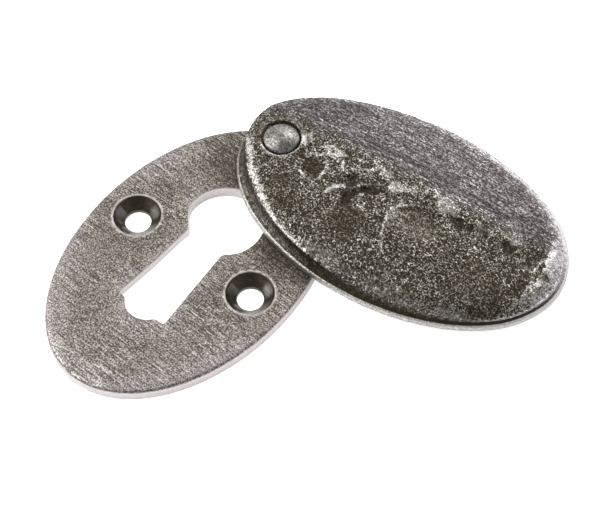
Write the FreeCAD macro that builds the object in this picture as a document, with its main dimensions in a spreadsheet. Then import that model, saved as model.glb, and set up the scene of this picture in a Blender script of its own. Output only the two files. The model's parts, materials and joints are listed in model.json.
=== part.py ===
import FreeCAD, Part
import math
import os

import Sketcher
from FreeCAD import Vector

# Covered keyhole escutcheon, in millimetres.
# The plate lies on its back: its back face is z = 0, +Z points out of the door, +Y points up the
# door towards the rivet, and the origin is midway between the two screw holes.
# The cover is swung open about the rivet by open_angle, as it lies in the photograph.

SIZES = {
    # back plate
    "plate_length": 52.0,
    "plate_width": 34.5,
    "plate_thickness": 2.2,
    "plate_edge_round": 0.55,
    "plate_back_bevel": 0.2,
    # screw holes
    "screw_spacing": 21.9,
    "screw_hole_radius": 2.0,
    "countersink_radius": 3.8,
    "countersink_angle": 90.0,
    # keyhole: a round part, a slot below it that widens downwards, and a shallow bow at its foot
    "keyhole_radius": 6.0,
    "keyhole_centre_up": 7.4,
    "neck_half_width": 5.0,
    "slot_top_half_width": 3.4,
    "slot_top_up": 2.5,
    "slot_foot_half_width": 4.35,
    "slot_foot_down": 11.6,
    "bow_half_width": 2.8,
    "bow_depth": 1.6,
    "keyhole_corner_round": 0.8,
    "slot_foot_round": 0.3,
    # the rivet: how far it is off both centre lines and in from both ends, and the cover's swing
    "pivot_across": -0.6,
    "plate_pivot_inset": 4.15,
    "cover_pivot_inset": 6.5,
    "open_angle": 95.7,
    "cover_gap": 0.25,
    # cover: rim, ledge, cove, shoulder and crown from the outside in
    "cover_length": 53.9,
    "cover_width": 33.8,
    "rim_height": 1.05,
    "rim_bevel": 0.15,
    "ledge_at_sides": 0.5,
    "ledge_at_ends": 0.7,
    "ledge_rise": 0.2,
    "cove_at_sides": 0.9,
    "cove_at_ends": 0.5,
    "shoulder_height": 3.4,
    "shoulder_tilt": 2.0,
    "shoulder_roll": 0.35,
    "crown_rise": 1.7,
    # cover: the hollow underside
    "rim_land": 3.2,
    "dish_depth": 2.2,
    "dish_slope": 3.6,
    "boss_radius": 4.2,
    # cover: forged relief
    "terrace_drop": 0.35,
    "lump_height": 0.07,
    # rivet
    "shank_radius": 1.6,
    "plate_fit": 0.04,
    "running_fit": 0.08,
    "head_radius": 2.7,
    "head_land": 0.15,
    "head_height": 1.5,
    "head_gap": 0.1,
    "seat_radius": 3.0,
    "seat_depth": 0.65,
    "tail_radius": 2.5,
    "tail_depth": 0.9,
}

# Hollows left by the hammer, in the cover's own frame with +Y towards the rivet:
# x, y, half length, half width, direction of the length in degrees, depth
HOLLOWS = [
    (-0.8, 13.4, 2.6, 1.7, -40.0, 0.45),
    (-1.3, 8.6, 1.9, 1.5, -30.0, 0.40),
    (2.9, 6.9, 1.4, 1.3, 0.0, 0.22),
    (-4.6, 5.9, 3.8, 1.4, -8.0, 0.50),
    (-1.3, 4.0, 2.3, 1.4, -52.0, 0.35),
    (-3.2, -5.3, 4.8, 3.6, 80.0, 0.45),
    (0.2, -10.3, 1.9, 1.4, 75.0, 0.28),
    (0.4, -17.0, 2.2, 1.4, 85.0, 0.26),
    (0.5, -24.3, 5.0, 1.8, -8.0, 0.40),
]

# The round of the plate's front edge in flats: share of its radius inwards, share upwards
EDGE_ROUND = [(0.0, 0.0), (0.134, 0.5), (0.5, 0.866), (1.0, 1.0)]

# The cove from ledge to shoulder: share of its width inwards, share of its rise
COVE = [(0.0, 0.0), (0.3, 0.08), (0.5, 0.25), (0.65, 0.52), (0.8, 0.8), (1.0, 1.0)]

# The dished underside from its mouth up: share of its slope inwards, share of its depth
DISH = [(0.0, 0.0), (0.15, 0.45), (0.45, 0.82), (1.0, 1.0)]

RELIEF_STEP = 1.5
SPARE = 1.0

# The crown keeps falling to this share of its half sizes, and is level beyond
CROWN_REACH = 1.04

# The crown is left smooth this many head radii round the rivet
SEAT_CALM = 2.2

PIVOT_ACROSS = "Sizes.pivot_across"
PIVOT_UP = "(Sizes.plate_length / 2 - Sizes.plate_pivot_inset)"
PIVOT_REACH = "(Sizes.cover_length / 2 - Sizes.cover_pivot_inset)"
RIM_HALF_WIDTH = "Sizes.cover_width / 2"
RIM_HALF_LENGTH = "Sizes.cover_length / 2"
CROWN_HALF_WIDTH = "(Sizes.cover_width / 2 - Sizes.ledge_at_sides - Sizes.cove_at_sides)"
CROWN_HALF_LENGTH = "(Sizes.cover_length / 2 - Sizes.ledge_at_ends - Sizes.cove_at_ends)"
LEDGE_TOP = "(Sizes.rim_height + Sizes.ledge_rise)"
COVER_BASE = "(Sizes.plate_thickness + Sizes.cover_gap)"
HEAD_BASE = "(%s + Sizes.seat_level + Sizes.head_gap)" % COVER_BASE

doc = FreeCAD.newDocument("covered_escutcheon")


def add_size(alias, number):
    """Adds a named number to the spreadsheet."""
    row = len(doc.Sizes.getUsedCells()) // 2 + 1
    doc.Sizes.set("A%d" % row, alias)
    doc.Sizes.set("B%d" % row, str(number))
    doc.Sizes.setAlias("B%d" % row, alias)


def make_sheet():
    """The spreadsheet of every driving dimension, and the seat's level, which follows the crown."""
    doc.addObject("Spreadsheet::Sheet", "Sizes")
    for alias, number in SIZES.items():
        add_size(alias, number)
    doc.recompute()
    crown_at_pivot = crown_height(value(PIVOT_ACROSS), value(PIVOT_REACH))
    add_size("seat_level", round(crown_at_pivot - size("seat_depth"), 3))
    doc.recompute()


def value(expression):
    """What an expression of the sheet comes to."""
    return float(doc.Sizes.evalExpression(expression))


def size(alias):
    """One driving dimension."""
    return value("Sizes." + alias)


def smooth_step(share):
    """0 below 0, 1 above 1, and a smooth rise between."""
    share = min(max(share, 0.0), 1.0)
    return share * share * (3 - 2 * share)


def new_body(label):
    body = doc.addObject("PartDesign::Body", label)
    body.Label = label
    return body


def new_sketch(body, name, role="XY_Plane", lift=None, tilt=None):
    """A sketch on one of the body's own origin planes, lifted along its normal and tilted."""
    sketch = body.newObject("Sketcher::SketchObject", name)
    plane = next(item for item in body.Origin.OriginFeatures if item.Role == role)
    sketch.AttachmentSupport = [(plane, "")]
    sketch.MapMode = "FlatFace"
    if tilt:
        sketch.AttachmentOffset = FreeCAD.Placement(Vector(), FreeCAD.Rotation(Vector(1, 0, 0), 1))
        sketch.setExpression("AttachmentOffset.Rotation.Angle", tilt)
    if lift:
        sketch.setExpression("AttachmentOffset.Base.z", lift)
    return sketch


def bind(sketch, name, kind, target, expression):
    """Adds a dimension to a sketch and ties it to the sheet."""
    index = sketch.addConstraint(Sketcher.Constraint(kind, *target, value(expression)))
    sketch.renameConstraint(index, name)
    sketch.setExpression("Constraints." + name, expression)


def place(sketch, name, point, x=None, y=None):
    """Holds a point of a sketch at x and y, each an expression, "axis" for zero or None for free."""
    for letter, where, kind, axis in (("x", x, "DistanceX", -2), ("y", y, "DistanceY", -1)):
        if where == "axis":
            sketch.addConstraint(Sketcher.Constraint("PointOnObject", *point, axis))
        elif where:
            bind(sketch, "%s_%s" % (name, letter), kind, (-1, 1) + point, where)


def chain(sketch, pieces):
    """Joins the end of each piece to the start of the next, round to the first."""
    for piece, after in zip(pieces, pieces[1:] + pieces[:1]):
        sketch.addConstraint(Sketcher.Constraint("Coincident", piece, 2, after, 1))


def arc_between(centre_y, start, end):
    """The arc about (0, centre_y) that runs counter-clockwise from start to end."""
    centre = Vector(0, centre_y, 0)
    first = math.atan2(start.y - centre_y, start.x)
    last = math.atan2(end.y - centre_y, end.x)
    if last < first:
        last += 2 * math.pi
    circle = Part.Circle(centre, Vector(0, 0, 1), start.distanceToPoint(centre))
    return Part.ArcOfCircle(circle, first, last)


def oval(body, name, half_width, half_length, lift=None, tilt=None):
    """A sketch of an upright ellipse about the origin, its half axes given as expressions."""
    sketch = new_sketch(body, name, lift=lift, tilt=tilt)
    tip = Vector(0, value(half_length), 0)
    side = Vector(value(half_width), 0, 0)
    sketch.addGeometry(Part.Ellipse(tip, side, Vector(0, 0, 0)), False)
    sketch.exposeInternalGeometry(0)
    long_axis, short_axis = 1, 2
    sketch.addConstraint(Sketcher.Constraint("Coincident", 0, 3, -1, 1))
    sketch.addConstraint(Sketcher.Constraint("Vertical", long_axis))
    bind(sketch, "long_axis", "Distance", (long_axis,), "2 * (%s)" % half_length)
    bind(sketch, "short_axis", "Distance", (short_axis,), "2 * (%s)" % half_width)
    return sketch


def ring(sketch, name, radius, across="axis", up="axis"):
    """Adds a circle to a sketch, its radius and centre given as expressions."""
    centre = Vector(0 if across == "axis" else value(across), 0 if up == "axis" else value(up), 0)
    index = sketch.addGeometry(Part.Circle(centre, Vector(0, 0, 1), value(radius)), False)
    bind(sketch, name + "_radius", "Radius", (index,), radius)
    place(sketch, name, (index, 3), across, up)


def pad(body, name, profile, length):
    feature = body.newObject("PartDesign::Pad", name)
    feature.Profile = profile
    feature.setExpression("Length", length)
    doc.recompute()


def cut_through(body, name, profile, upwards):
    """A pocket from the profile's plane all the way out, checked to remove something."""
    before = body.Shape.Volume
    feature = body.newObject("PartDesign::Pocket", name)
    feature.Profile = profile
    feature.Type = "ThroughAll"
    feature.Reversed = upwards
    doc.recompute()
    if not body.Shape.Volume < before:
        raise ValueError("%s removes nothing" % name)


def loft(body, kind, name, sections):
    """A loft with straight bands from section to section."""
    feature = body.newObject("PartDesign::" + kind, name)
    feature.Profile = sections[0]
    feature.Sections = sections[1:]
    feature.Ruled = True
    doc.recompute()


def dress(body, kind, name, test, measure, expression):
    """A fillet or chamfer on the body's edges that pass a test."""
    base = body.Tip
    names = ["Edge%d" % i for i, edge in enumerate(base.Shape.Edges, start=1) if test(edge)]
    feature = body.newObject("PartDesign::" + kind, name)
    feature.Base = (base, names)
    feature.setExpression(measure, expression)
    doc.recompute()


def fillet(body, name, test, radius):
    """Rounds the body's edges that pass a test."""
    dress(body, "Fillet", name, test, "Radius", radius)


def is_level(height):
    """A test for edges that lie flat at one height."""
    return lambda edge: max(abs(edge.BoundBox.ZMin - height), abs(edge.BoundBox.ZMax - height)) < 1e-4


def is_upright_over(corners):
    """A test for straight upright edges over any of the given corners."""
    def test(edge):
        box = edge.BoundBox
        upright = box.XLength < 1e-4 and box.YLength < 1e-4
        return upright and any(math.hypot(box.XMin - p.x, box.YMin - p.y) < 0.01 for p in corners)
    return test


def flipped(point):
    """The mirror image of a point in the Y axis."""
    return Vector(-point.x, point.y, point.z)


def keyhole_corners():
    """Neck, slot top, slot foot and bow corner of the keyhole's right side."""
    neck_x = size("neck_half_width")
    drop = math.sqrt(size("keyhole_radius") ** 2 - neck_x ** 2)
    neck = Vector(neck_x, size("keyhole_centre_up") - drop, 0)
    top = Vector(size("slot_top_half_width"), size("slot_top_up"), 0)
    foot = Vector(size("slot_foot_half_width"), -size("slot_foot_down"), 0)
    bow = Vector(size("bow_half_width"), foot.y, 0)
    return neck, top, foot, bow


def keyhole_outline(body):
    """Round part, sloping shoulders, widening slot and the bow at its foot, alike on both sides."""
    sketch = new_sketch(body, "KeyholeOutline", lift="Sizes.plate_thickness")
    neck, top, foot, bow = keyhole_corners()
    bow_radius = "((Sizes.bow_half_width ^ 2 + Sizes.bow_depth ^ 2) / (2 * Sizes.bow_depth))"
    bow_centre = foot.y - size("bow_depth") + value(bow_radius)
    outline = [
        arc_between(size("keyhole_centre_up"), neck, flipped(neck)),
        Part.LineSegment(flipped(neck), flipped(top)),
        Part.LineSegment(flipped(top), flipped(foot)),
        Part.LineSegment(flipped(foot), flipped(bow)),
        arc_between(bow_centre, flipped(bow), bow),
        Part.LineSegment(bow, foot),
        Part.LineSegment(foot, top),
        Part.LineSegment(top, neck),
    ]
    pieces = [sketch.addGeometry(piece, False) for piece in outline]
    round_part, left_shoulder, left_side, left_foot, bow_arc, right_foot, right_side, _ = pieces
    chain(sketch, pieces)
    bind(sketch, "round_radius", "Radius", (round_part,), "Sizes.keyhole_radius")
    place(sketch, "round_centre", (round_part, 3), "axis", "Sizes.keyhole_centre_up")
    place(sketch, "right_neck", (round_part, 1), "Sizes.neck_half_width")
    place(sketch, "left_neck", (round_part, 2), "-Sizes.neck_half_width")
    place(sketch, "top", (right_side, 2), "Sizes.slot_top_half_width", "Sizes.slot_top_up")
    place(sketch, "foot", (right_side, 1), "Sizes.slot_foot_half_width", "-Sizes.slot_foot_down")
    place(sketch, "bow", (right_foot, 1), "Sizes.bow_half_width", "-Sizes.slot_foot_down")
    bind(sketch, "bow_radius", "Radius", (bow_arc,), bow_radius)
    mirrored = [((left_shoulder, 2), (right_side, 2)),
                ((left_side, 2), (right_side, 1)),
                ((left_foot, 2), (right_foot, 1))]
    for left, right in mirrored:
        sketch.addConstraint(Sketcher.Constraint("Symmetric", *left, *right, -2))
    return sketch


def screw_holes(body):
    """Two countersunk holes on the plate's short axis."""
    sketch = new_sketch(body, "ScrewCentres", lift="Sizes.plate_thickness")
    ring(sketch, "right", "Sizes.screw_hole_radius", across="Sizes.screw_spacing / 2")
    ring(sketch, "left", "Sizes.screw_hole_radius", across="-Sizes.screw_spacing / 2")
    doc.recompute()
    holes = body.newObject("PartDesign::Hole", "ScrewHoles")
    holes.Profile = sketch
    doc.recompute()
    holes.DepthType = "ThroughAll"
    holes.HoleCutType = "Countersink"
    holes.setExpression("Diameter", "2 * Sizes.screw_hole_radius")
    holes.setExpression("HoleCutDiameter", "2 * Sizes.countersink_radius")
    holes.setExpression("HoleCutCountersinkAngle", "Sizes.countersink_angle")
    doc.recompute()


def back_plate():
    """A flat oval plate with soft edges, a keyhole, two screw holes and the rivet's hole."""
    body = new_body("back_plate")
    outline = oval(body, "PlateOutline", "Sizes.plate_width / 2", "Sizes.plate_length / 2")
    pad(body, "Plate", outline, "Sizes.plate_thickness - Sizes.plate_edge_round")
    levels = []
    for number, (inwards, rise) in enumerate(EDGE_ROUND):
        inset = " - %g * Sizes.plate_edge_round" % inwards
        levels.append(oval(body, "Edge%d" % number, "Sizes.plate_width / 2" + inset,
                           "Sizes.plate_length / 2" + inset,
                           "Sizes.plate_thickness - %g * Sizes.plate_edge_round" % (1 - rise)))
    loft(body, "AdditiveLoft", "SoftFrontEdge", levels)
    dress(body, "Chamfer", "BackEdgeBevel", is_level(0), "Size", "Sizes.plate_back_bevel")
    cut_through(body, "Keyhole", keyhole_outline(body), upwards=False)
    _, top, foot, bow = keyhole_corners()
    fillet(body, "SoftKeyholeCorners", is_upright_over([top, flipped(top), bow, flipped(bow)]),
           "Sizes.keyhole_corner_round")
    fillet(body, "SlotFootCorners", is_upright_over([foot, flipped(foot)]), "Sizes.slot_foot_round")
    screw_holes(body)
    shank = new_sketch(body, "RivetHoleOutline", lift="Sizes.plate_thickness")
    ring(shank, "rivet", "Sizes.shank_radius + Sizes.plate_fit", PIVOT_ACROSS, PIVOT_UP)
    cut_through(body, "RivetHole", shank, upwards=False)
    tail = body.newObject("PartDesign::SubtractiveCone", "RivetCountersink")
    tail.setExpression("Radius1", "Sizes.tail_radius + Sizes.plate_fit")
    tail.setExpression("Radius2", "Sizes.shank_radius + Sizes.plate_fit")
    tail.setExpression("Height", "Sizes.tail_depth")
    tail.setExpression("Placement.Base.x", PIVOT_ACROSS)
    tail.setExpression("Placement.Base.y", PIVOT_UP)
    doc.recompute()
    return body


def shoulder_lean(share):
    """Lean, up towards the rivet, of a level that is this share of the way up to the shoulder."""
    return "atan(%g * Sizes.shoulder_tilt / (2 * %s))" % (share, CROWN_HALF_LENGTH)


def inset_oval(body, name, side_inset, end_inset, lift=None, tilt=None):
    """An ellipse inside the cover's rim by one inset at the sides and another at the ends."""
    half_width = "%s - (%s)" % (RIM_HALF_WIDTH, side_inset)
    half_length = "%s - (%s)" % (RIM_HALF_LENGTH, end_inset)
    return oval(body, name, half_width, half_length, lift, tilt)


def cover_blank():
    """The cover before its crown is forged: rim, ledge, cove, dished underside, boss and seat."""
    body = new_body("cover_blank")
    foot = inset_oval(body, "RimFoot", "0", "0")
    pad(body, "Rim", foot, "Sizes.rim_height - Sizes.rim_bevel")

    bevel_foot = inset_oval(body, "BevelFoot", "0", "0", "Sizes.rim_height - Sizes.rim_bevel")
    bevel_top = inset_oval(body, "BevelTop", "Sizes.rim_bevel", "Sizes.rim_bevel", "Sizes.rim_height")
    loft(body, "AdditiveLoft", "RimBevel", [bevel_foot, bevel_top])

    ledge_foot = inset_oval(body, "LedgeFoot", "Sizes.rim_bevel", "Sizes.rim_bevel",
                            "Sizes.rim_height")
    ledge_top = inset_oval(body, "LedgeTop", "Sizes.ledge_at_sides", "Sizes.ledge_at_ends", LEDGE_TOP)
    loft(body, "AdditiveLoft", "Ledge", [ledge_foot, ledge_top])

    levels = []
    for number, (inwards, rise) in enumerate(COVE):
        levels.append(inset_oval(
            body, "Cove%d" % number,
            "Sizes.ledge_at_sides + %g * Sizes.cove_at_sides" % inwards,
            "Sizes.ledge_at_ends + %g * Sizes.cove_at_ends" % inwards,
            "%s + %g * (Sizes.shoulder_height - %s)" % (LEDGE_TOP, rise, LEDGE_TOP),
            shoulder_lean(rise)))
    loft(body, "AdditiveLoft", "Cove", levels)

    crown = oval(body, "CrownOutline", CROWN_HALF_WIDTH, CROWN_HALF_LENGTH,
                 "Sizes.shoulder_height", shoulder_lean(1))
    pad(body, "CrownStock", crown, "Sizes.crown_rise + %g" % SPARE)

    levels = []
    for number, (inwards, rise) in enumerate(DISH):
        inset = "Sizes.rim_land + %g * Sizes.dish_slope" % inwards
        levels.append(inset_oval(body, "Dish%d" % number, inset, inset,
                                 "%g * Sizes.dish_depth" % rise))
    loft(body, "SubtractiveLoft", "Dish", levels)

    boss = new_sketch(body, "BossOutline")
    ring(boss, "boss", "Sizes.boss_radius", PIVOT_ACROSS, PIVOT_REACH)
    pad(body, "Boss", boss, "Sizes.dish_depth + %g" % (SPARE / 4))

    seat = new_sketch(body, "SeatOutline", lift="Sizes.seat_level")
    ring(seat, "seat", "Sizes.seat_radius", PIVOT_ACROSS, PIVOT_REACH)
    cut_through(body, "HeadSeat", seat, upwards=True)

    bore = new_sketch(body, "BoreOutline")
    ring(bore, "bore", "Sizes.shank_radius + Sizes.running_fit", PIVOT_ACROSS, PIVOT_REACH)
    cut_through(body, "Bore", bore, upwards=True)
    return body


def hollow_depth(x, y):
    """How deep the hammer's hollows are at a point of the crown."""
    total = 0.0
    for centre_x, centre_y, half_length, half_width, direction, depth in HOLLOWS:
        turn = math.radians(direction)
        along = (x - centre_x) * math.cos(turn) + (y - centre_y) * math.sin(turn)
        across = (y - centre_y) * math.cos(turn) - (x - centre_x) * math.sin(turn)
        total += depth * math.exp(-((along / half_length) ** 2 + (across / half_width) ** 2) * 1.4)
    return total


def terrace(x, y):
    """The low side of the ridge that runs from the rivet to the free end: 1 on it, 0 off it."""
    ridge = 1.5 + 0.9 * math.cos(y / 4.5)
    low_side = 0.5 - 0.5 * math.tanh((x - ridge) / 0.9)
    fade = math.exp(-((x + 3.0) / 6.5) ** 2) * math.exp(-(y / 20.0) ** 4)
    return low_side * fade


def crown_height(x, y):
    """Height of the forged crown over the cover's base."""
    along = y / value(CROWN_HALF_LENGTH)
    reach = min(math.hypot(x / value(CROWN_HALF_WIDTH), along), CROWN_REACH)
    shoulder = size("shoulder_height") + size("shoulder_tilt") * along / 2
    smooth = shoulder + size("crown_rise") * (1 - reach ** 2) - size("shoulder_roll") * reach ** 12
    lumps = size("lump_height") * (math.sin(x / 1.1 + 0.4) * math.cos(y / 1.4) + math.sin((x + y) / 1.9))
    dents = hollow_depth(x, y) + size("terrace_drop") * terrace(x, y)
    from_rivet = math.hypot(x - value(PIVOT_ACROSS), y - value(PIVOT_REACH)) / size("head_radius")
    worked = max(1 - reach ** 6, 0) * smooth_step((from_rivet - 1) / (SEAT_CALM - 1))
    return smooth + worked * (lumps - dents)


def crown_tool():
    """Everything above the forged crown, as a solid to cut away."""
    columns = math.ceil((size("cover_width") + 2 * SPARE) / RELIEF_STEP)
    rows = math.ceil((size("cover_length") + 2 * SPARE) / RELIEF_STEP)
    grid = []
    for column in range(columns + 1):
        x = (column - columns / 2) * RELIEF_STEP
        line = []
        for row in range(rows + 1):
            y = (row - rows / 2) * RELIEF_STEP
            line.append(Vector(x, y, crown_height(x, y)))
        grid.append(line)
    surface = Part.BSplineSurface()
    surface.interpolate(grid)
    tool = doc.addObject("Part::Feature", "crown_tool")
    depth = size("crown_rise") + size("shoulder_tilt") + SPARE
    tool.Shape = surface.toShape().extrude(Vector(0, 0, 2 * depth))
    return tool


def swing_cover():
    """The forged cover, turned about the rivet to where it lies open."""
    cover = doc.addObject("Part::Cut", "swing_cover")
    cover.Label = "swing_cover"
    cover.Base = cover_blank()
    cover.Tool = crown_tool()
    cover.Placement = FreeCAD.Placement(Vector(0, 0, 0), FreeCAD.Rotation(Vector(0, 0, 1), 1))
    cover.setExpression("Placement.Rotation.Angle", "Sizes.open_angle")
    turned = {"sin": "sin(Sizes.open_angle)", "cos": "cos(Sizes.open_angle)"}
    turned.update(across=PIVOT_ACROSS, reach=PIVOT_REACH, up=PIVOT_UP)
    cover.setExpression("Placement.Base.x",
                        "{across} - {across} * {cos} + {reach} * {sin}".format(**turned))
    cover.setExpression("Placement.Base.y",
                        "{up} - {across} * {sin} - {reach} * {cos}".format(**turned))
    cover.setExpression("Placement.Base.z", COVER_BASE)
    doc.recompute()
    return cover


def pivot_rivet():
    """A domed rivet: its tail fills the countersink in the plate's back, its head holds the cover."""
    body = new_body("pivot_rivet")
    sketch = new_sketch(body, "HalfSection", role="XZ_Plane")
    head_base = value(HEAD_BASE)
    land_top = head_base + size("head_land")
    head_top = head_base + size("head_height")
    tail, shank, head = size("tail_radius"), size("shank_radius"), size("head_radius")
    dome_rise = head_top - land_top
    dome_centre = head_top - (head ** 2 + dome_rise ** 2) / (2 * dome_rise)
    corners = [Vector(0, 0, 0), Vector(tail, 0, 0), Vector(shank, size("tail_depth"), 0),
               Vector(shank, head_base, 0), Vector(head, head_base, 0), Vector(head, land_top, 0)]
    crest = Vector(0, head_top, 0)
    outline = [Part.LineSegment(a, b) for a, b in zip(corners, corners[1:])]
    outline.append(arc_between(dome_centre, corners[-1], crest))
    outline.append(Part.LineSegment(crest, corners[0]))
    pieces = [sketch.addGeometry(piece, False) for piece in outline]
    tail_face, tail_cone, stem, shelf, land, dome, axis = pieces
    chain(sketch, pieces)
    place(sketch, "foot", (tail_face, 1), "axis", "axis")
    place(sketch, "tail", (tail_face, 2), "Sizes.tail_radius", "axis")
    place(sketch, "neck", (tail_cone, 2), "Sizes.shank_radius", "Sizes.tail_depth")
    place(sketch, "shelf", (stem, 2), "Sizes.shank_radius", HEAD_BASE)
    place(sketch, "head", (shelf, 2), "Sizes.head_radius", HEAD_BASE)
    place(sketch, "land", (land, 2), "Sizes.head_radius", HEAD_BASE + " + Sizes.head_land")
    place(sketch, "crest", (dome, 2), "axis", HEAD_BASE + " + Sizes.head_height")
    place(sketch, "dome_centre", (dome, 3), "axis")
    turned = body.newObject("PartDesign::Revolution", "Rivet")
    turned.Profile = sketch
    turned.ReferenceAxis = (sketch, ["V_Axis"])
    turned.Angle = 360
    body.setExpression("Placement.Base.x", PIVOT_ACROSS)
    body.setExpression("Placement.Base.y", PIVOT_UP)
    doc.recompute()
    return body


def check(parts):
    """Stops if any object failed or any piece is not one sound solid."""
    for item in doc.Objects:
        if "Invalid" in item.State or "Error" in item.State:
            raise ValueError("%s failed: %s" % (item.Name, item.State))
    for part in parts:
        if part.Shape.isNull() or not part.Shape.isValid() or len(part.Shape.Solids) != 1:
            raise ValueError("%s is not one sound solid" % part.Label)
        if min(face.Area for face in part.Shape.Faces) <= 0:
            raise ValueError("%s has a face that is inside out" % part.Label)


def main():
    make_sheet()
    parts = [back_plate(), swing_cover(), pivot_rivet()]
    doc.recompute()
    check(parts)
    os.makedirs("parts", exist_ok=True)
    for part in parts:
        part.Shape.exportStep("parts/%s.step" % part.Label)
        print("%s: %.0f mm3, %s" % (part.Label, part.Shape.Volume, part.Shape.BoundBox))


main()
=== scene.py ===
import json
import math

import bpy
import numpy as np
from mathutils import Matrix, Vector
from mathutils.geometry import delaunay_2d_cdt


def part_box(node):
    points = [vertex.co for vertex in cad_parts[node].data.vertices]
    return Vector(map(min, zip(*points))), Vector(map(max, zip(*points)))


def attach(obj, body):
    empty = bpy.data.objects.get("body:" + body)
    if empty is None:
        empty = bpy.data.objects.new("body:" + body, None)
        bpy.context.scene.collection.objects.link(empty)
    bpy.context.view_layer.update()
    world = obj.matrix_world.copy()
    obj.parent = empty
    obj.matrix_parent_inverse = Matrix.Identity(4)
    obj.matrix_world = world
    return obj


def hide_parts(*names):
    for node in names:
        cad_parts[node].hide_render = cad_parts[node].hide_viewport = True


# Looks of the covered keyhole escutcheon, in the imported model's own frame.
# Shapes are worked out in millimetres and scaled to metres as each mesh is made.

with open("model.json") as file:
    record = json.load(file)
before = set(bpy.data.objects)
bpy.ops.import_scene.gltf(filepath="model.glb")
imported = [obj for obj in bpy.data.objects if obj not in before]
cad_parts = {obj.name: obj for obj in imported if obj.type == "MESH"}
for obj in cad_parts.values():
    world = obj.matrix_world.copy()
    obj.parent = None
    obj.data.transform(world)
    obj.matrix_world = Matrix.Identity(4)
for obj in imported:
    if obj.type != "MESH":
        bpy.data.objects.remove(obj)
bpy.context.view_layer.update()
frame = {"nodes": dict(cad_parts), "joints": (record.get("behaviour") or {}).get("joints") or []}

MM = 0.001

# The photograph's frame, in pixels, and the camera that was fitted to it
IMAGE_WIDTH = 600
FOCAL_PIXELS = 1500.0
SENSOR_WIDTH = 36.0
CAMERA_ELEVATION = math.radians(57.68)
CAMERA_AZIMUTH = math.radians(38.24)
CAMERA_ROLL = math.radians(0.1)
CAMERA_DISTANCE = 224.2
CAMERA_TARGET = Vector((11.58, 10.92, 0.0))

# Back plate
PLATE_THICKNESS = 2.2
PLATE_EDGE_ROUND = 0.55
PLATE_BACK_ROUND = 0.2
PLATE_PILLOW = 0.10
PILLOW_WIDTH = 2.2
PLATE_WAVE = 0.03
TOP_SPACING = 0.33
SCREW_ACROSS = 10.95
SCREW_HOLE_RADIUS = 2.0
COUNTERSINK_RADIUS = 3.62
BURR_HEIGHT = 0.08
BURR_WIDTH = 0.40
KEYHOLE_RADIUS = 6.0
KEYHOLE_UP = 7.4
NECK_HALF_WIDTH = 5.0
SLOT_TOP = (3.4, 2.5)
SLOT_FOOT = (4.45, -11.7)
# The keyhole's left side, downwards
LEFT_SIDE = [(-5.9, 6.3), (-5.2, 5.2), (-4.3, 4.2), (-3.5, 3.35), (-3.32, 2.5), (-3.56, -4.5), (-4.1, -11.4)]
SLOT_UNDERCUT = 0.38
BOW_HALF_WIDTH = 2.8
BOW_DEPTH = 1.6
KEYHOLE_EDGE_ROUND = 0.16
BURR_PIPS = 17
# Painted highlights in each countersink's cone: direction in degrees and strength
SINK_GLINTS = [(58, 1.0), (-165, 0.8)]
GLINT_WIDTH = 17
PLATE_TONE = 0.405

# Cover
OPEN_ANGLE = math.radians(95.7)
RIM_HEIGHT = 1.05
RIM_BEVEL = 0.15
LEDGE_AT_SIDES = 0.5
LEDGE_AT_ENDS = 0.7
LEDGE_RISE = 0.2
COVE_AT_SIDES = 0.9
COVE_AT_ENDS = 0.5
SHOULDER_HEIGHT = 3.4
SHOULDER_TILT = 2.0
SHOULDER_ROLL = 0.35
SHOULDER_SOFT = 0.45
CROWN_RISE = 1.7
RIM_LAND = 3.2
DISH_DEPTH = 2.2
DISH_SLOPE = 3.6
BOSS_RADIUS = 4.2
CROWN_CELLS = 250
UNDERSIDE_SKIP = 4

# Rivet
SHANK_RADIUS = 1.6
HEAD_RADIUS = 2.76
HEAD_LAND = 0.42
HEAD_HEIGHT = 1.5
SEAT_RADIUS = 2.88
SEAT_SLACK = 0.09
SEAT_DEPTH = 0.65
TAIL_RADIUS = 2.5
TAIL_DEPTH = 0.9
PLATE_FIT = 0.04
# The way in which the crown rises round the rivet's seat and the seat's burr fades
SEAT_FAR_SIDE = (0.84, 0.54)

# Points round the outlines
PLATE_POINTS = 420
SINK_POINTS = 120
SHANK_POINTS = 48
BOSS_POINTS = 64
HEAD_POINTS = 96

# Light: the dome's dark side, towards the photographer, and the lamps' size, power, place and aim
DARK_SIDE = (0.33, -0.42, 0.845)
LAMPS = {"key": (0.25, 1.2, (-0.22, -0.12, 0.30), (0.01, 0.01, 0.0)),
         "back": (0.35, 1.6, (-0.05, 0.40, 0.30), (0.01, 0.01, 0.0))}
FLOOR_REACH = 3.0


# Noise

def hashed(column, row, seed):
    """A fixed random number from 0 to 1 for each cell of a lattice."""
    number = (column * 374761393 + row * 668265263 + seed * 974634777) & 0xFFFFFFFF
    number = ((number ^ (number >> 13)) * 1274126177) & 0xFFFFFFFF
    return (number ^ (number >> 16)) / 0xFFFFFFFF


def waves(x, y, seed):
    """Smooth noise from about -1 to 1, one swell to each unit."""
    column, row = np.floor(x).astype(np.int64), np.floor(y).astype(np.int64)
    across, up = x - column, y - row

    def corner(right, top):
        angle = 2 * math.pi * hashed(column + right, row + top, seed)
        return np.cos(angle) * (across - right) + np.sin(angle) * (up - top)

    ease_x, ease_y = across ** 2 * (3 - 2 * across), up ** 2 * (3 - 2 * up)
    low = corner(0, 0) * (1 - ease_x) + corner(1, 0) * ease_x
    high = corner(0, 1) * (1 - ease_x) + corner(1, 1) * ease_x
    return 1.5 * (low * (1 - ease_y) + high * ease_y)


def rough(x, y, seed, octaves=3):
    """Waves with finer waves on them."""
    total = np.zeros_like(x)
    for octave in range(octaves):
        scale = 2.0 ** octave
        total += waves(x * scale + 7.3 * octave, y * scale, seed + octave) / scale
    return total


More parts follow.
